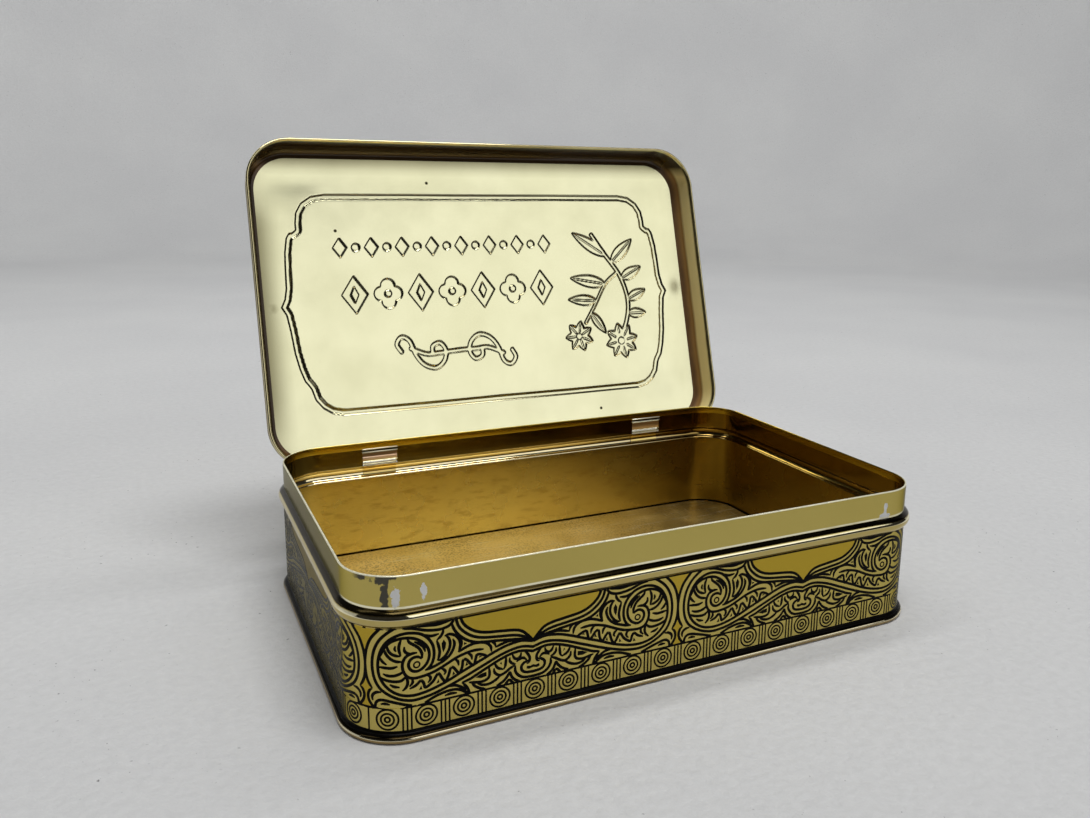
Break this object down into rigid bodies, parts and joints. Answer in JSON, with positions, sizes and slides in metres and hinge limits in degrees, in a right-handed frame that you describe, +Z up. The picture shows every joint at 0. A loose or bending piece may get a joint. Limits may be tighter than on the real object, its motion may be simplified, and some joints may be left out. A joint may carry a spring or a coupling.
{
  "type": "lithographed tin box",
  "caption": "Flat rectangular tin box with rounded corners, printed scrollwork sides, a bead and neck, and a hinged embossed lid standing open.",
  "frame": {"origin": "centre of the plane that the tin stands on, under the middle of its body", "axes": "+X along the width, to the right seen from the front; +Y from the front to the hinged rear wall; +Z up. The rest pose has the lid open on its stop."},
  "size_m": [0.183, 0.1622, 0.1485],
  "materials": {
    "litho_gold": "gold lacquered tinplate with black and pale gold printed scrollwork, glossy",
    "bronze_lacquer": "bronze-gold lacquered tinplate, satin",
    "gold_lacquer": "pale gold lacquered tinplate, satin",
    "bare_tinplate": "bare tinplate, glossy",
    "pin_wire": "steel wire, satin"
  },
  "bodies": {
    "body": {"body_wall": "litho_gold", "bottom_plate": "bronze_lacquer", "body_hinge_left": "bare_tinplate", "body_hinge_right": "bare_tinplate", "hinge_pin_left": "pin_wire", "hinge_pin_right": "pin_wire"},
    "lid": {"lid": "gold_lacquer", "lid_hinge_left": "bare_tinplate", "lid_hinge_right": "bare_tinplate"}
  },
  "joints": [
    {"name": "lid_hinge", "type": "hinge", "parent": "body", "child": "lid", "pos_m": [0, 0.05865, 0.03555], "axis": [1, 0, 0], "range_deg": [0, 106.6]}
  ]
}
